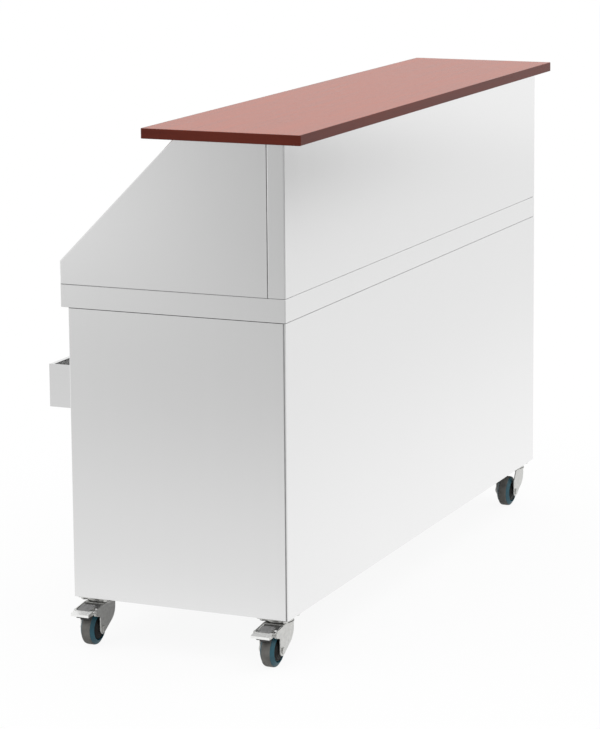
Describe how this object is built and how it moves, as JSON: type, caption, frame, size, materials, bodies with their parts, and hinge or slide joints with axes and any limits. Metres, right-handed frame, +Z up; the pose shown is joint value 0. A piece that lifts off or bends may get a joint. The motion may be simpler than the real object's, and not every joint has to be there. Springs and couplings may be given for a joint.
{
  "type": "mobile bar unit",
  "caption": "Mobile bar unit on swivel casters: stainless cabinet with work top, raised wooden guest counter, end wings, speed rail, open shelves and an insulated ice bin with sliding lids.",
  "frame": {"origin": "middle of the bounding box's base, on the floor", "axes": "+X along the unit towards the guest's right, away from the braked casters; +Y from the guest side to the operator side; +Z up"},
  "size_m": [1.6316, 0.654, 1.14],
  "materials": {
    "brushed_panel": "satin",
    "inner_panel": "satin",
    "frame_steel": "satin",
    "zinc_steel": "satin",
    "bar_top_wood": "satin",
    "bar_top_edge": "satin",
    "black_rubber": "matte",
    "insulation_foam": "matte",
    "brass": "satin",
    "red_lever": "satin",
    "blue_core": "satin",
    "grey_tyre": "matte",
    "black_plastic": "matte"
  },
  "bodies": {
    "cabinet": {"bar_top_board": "bar_top_wood", "bar_top_edging": "bar_top_edge", "bar_top_screws": "zinc_steel", "riser_guest_panel": "brushed_panel", "riser_service_panel": "inner_panel", "riser_stiffeners": "frame_steel", "left_wing": "brushed_panel", "right_wing": "brushed_panel", "work_top": "brushed_panel", "guest_panel": "brushed_panel", "left_end_panel": "brushed_panel", "right_end_panel": "brushed_panel", "panel_seals": "black_rubber", "base_deck": "inner_panel", "base_channels": "frame_steel", "corner_posts": "frame_steel", "cross_bar": "frame_steel", "mid_shelf": "inner_panel", "shelf_cleats": "frame_steel", "speed_rail": "brushed_panel", "rail_screws": "zinc_steel", "ice_bin_liner": "inner_panel", "ice_bin_insulation": "insulation_foam", "ice_bin_jacket": "frame_steel", "ice_grid": "inner_panel", "lid_frame": "inner_panel", "drain_fitting": "brass", "drain_valve_body": "brass", "caster_plates": "zinc_steel", "caster_bolts": "zinc_steel", "kingpins": "zinc_steel", "swivel_bearings": "zinc_steel"},
    "left_guest_swivel": {"left_guest_fork": "zinc_steel", "left_guest_axle": "zinc_steel"},
    "left_guest_wheel": {"left_guest_hub": "blue_core", "left_guest_tyre": "grey_tyre", "left_guest_guards": "black_plastic"},
    "left_service_swivel": {"left_service_fork": "zinc_steel", "left_service_axle": "zinc_steel"},
    "left_service_wheel": {"left_service_hub": "blue_core", "left_service_tyre": "grey_tyre", "left_service_guards": "black_plastic"},
    "right_guest_swivel": {"right_guest_fork": "zinc_steel", "right_guest_axle": "zinc_steel"},
    "right_guest_wheel": {"right_guest_hub": "blue_core", "right_guest_tyre": "grey_tyre", "right_guest_guards": "black_plastic"},
    "right_service_swivel": {"right_service_fork": "zinc_steel", "right_service_axle": "zinc_steel"},
    "right_service_wheel": {"right_service_hub": "blue_core", "right_service_tyre": "grey_tyre", "right_service_guards": "black_plastic"},
    "left_guest_brake": {"left_guest_pedal": "zinc_steel", "left_guest_shoe": "black_plastic"},
    "left_service_brake": {"left_service_pedal": "zinc_steel", "left_service_shoe": "black_plastic"},
    "left_lid": {"left_lid": "inner_panel"},
    "right_lid": {"right_lid": "inner_panel"},
    "drain_valve": {"drain_valve_plug": "brass", "drain_valve_lever": "red_lever"}
  },
  "joints": [
    {"name": "left_guest_swivel_turn", "type": "hinge", "parent": "cabinet", "child": "left_guest_swivel", "pos_m": [-0.71375, -0.246, 0.09], "axis": [0, 0, 1], "continuous": true},
    {"name": "left_guest_wheel_spin", "type": "hinge", "parent": "left_guest_swivel", "child": "left_guest_wheel", "pos_m": [-0.75375, -0.246, 0.0375], "axis": [0, 1, 0], "continuous": true},
    {"name": "left_service_swivel_turn", "type": "hinge", "parent": "cabinet", "child": "left_service_swivel", "pos_m": [-0.71375, 0.182, 0.09], "axis": [0, 0, 1], "continuous": true},
    {"name": "left_service_wheel_spin", "type": "hinge", "parent": "left_service_swivel", "child": "left_service_wheel", "pos_m": [-0.75375, 0.182, 0.0375], "axis": [0, 1, 0], "continuous": true},
    {"name": "right_guest_swivel_turn", "type": "hinge", "parent": "cabinet", "child": "right_guest_swivel", "pos_m": [0.76025, -0.246, 0.09], "axis": [0, 0, 1], "continuous": true},
    {"name": "right_guest_wheel_spin", "type": "hinge", "parent": "right_guest_swivel", "child": "right_guest_wheel", "pos_m": [0.72025, -0.246, 0.0375], "axis": [0, 1, 0], "continuous": true},
    {"name": "right_service_swivel_turn", "type": "hinge", "parent": "cabinet", "child": "right_service_swivel", "pos_m": [0.76025, 0.182, 0.09], "axis": [0, 0, 1], "continuous": true},
    {"name": "right_service_wheel_spin", "type": "hinge", "parent": "right_service_swivel", "child": "right_service_wheel", "pos_m": [0.72025, 0.182, 0.0375], "axis": [0, 1, 0], "continuous": true},
    {"name": "left_guest_brake_press", "type": "hinge", "parent": "left_guest_swivel", "child": "left_guest_brake", "pos_m": [-0.78575, -0.246, 0.0792], "axis": [0, -1, 0], "range_deg": [0, 12]},
    {"name": "left_service_brake_press", "type": "hinge", "parent": "left_service_swivel", "child": "left_service_brake", "pos_m": [-0.78575, 0.182, 0.0792], "axis": [0, -1, 0], "range_deg": [0, 12]},
    {"name": "left_lid_slide", "type": "slide", "parent": "cabinet", "child": "left_lid", "axis": [1, 0, 0], "range_m": [0, 0.279]},
    {"name": "right_lid_slide", "type": "slide", "parent": "cabinet", "child": "right_lid", "axis": [-1, 0, 0], "range_m": [0, 0.279]},
    {"name": "drain_valve_turn", "type": "hinge", "parent": "cabinet", "child": "drain_valve", "pos_m": [0.02325, 0.003, 0.4725], "axis": [1, 0, 0], "range_deg": [0, 90]}
  ]
}
